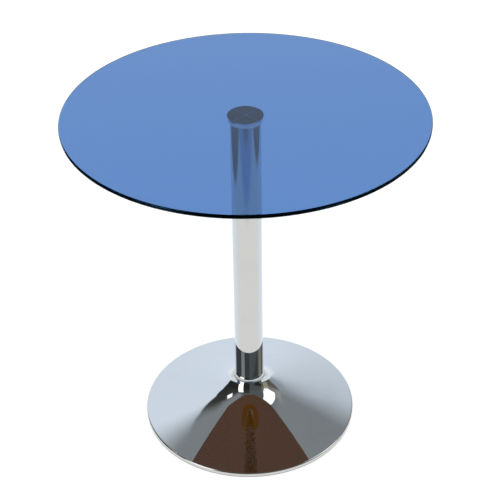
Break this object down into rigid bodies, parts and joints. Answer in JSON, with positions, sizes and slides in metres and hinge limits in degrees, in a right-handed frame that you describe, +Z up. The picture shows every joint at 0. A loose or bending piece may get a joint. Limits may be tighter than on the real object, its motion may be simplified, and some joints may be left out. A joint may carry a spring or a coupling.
{
  "type": "pedestal table",
  "caption": "Round tinted glass table top bonded to a chromed tube column on a weighted trumpet base.",
  "frame": {"origin": "on the floor, at the middle of the base", "axes": "+Z up along the column; the table is round, so +X and +Y are any two directions across it"},
  "size_m": [0.6999, 0.7, 0.725],
  "materials": {
    "tinted_glass": "clear, polished edge, blue body tint",
    "adhesive": "cured film",
    "satin_steel": "fine turned",
    "chrome": "mirror polished",
    "zinc_steel": "bright zinc plate",
    "cast_iron": "rough, black primed",
    "soft_strip": "matt grey"
  },
  "bodies": {
    "root": {"glass_top": "tinted_glass", "bonding_pads": "adhesive", "hub_disc": "satin_steel", "hub_stud": "zinc_steel", "top_plug": "zinc_steel", "column_tube": "chrome", "bottom_plug": "zinc_steel", "neck_collar": "chrome", "base_shell": "chrome", "floor_ring": "soft_strip", "support_tube": "zinc_steel", "ballast": "cast_iron", "tie_bolt": "zinc_steel", "clamp_washer": "zinc_steel", "spring_washer": "zinc_steel"}
  },
  "joints": []
}
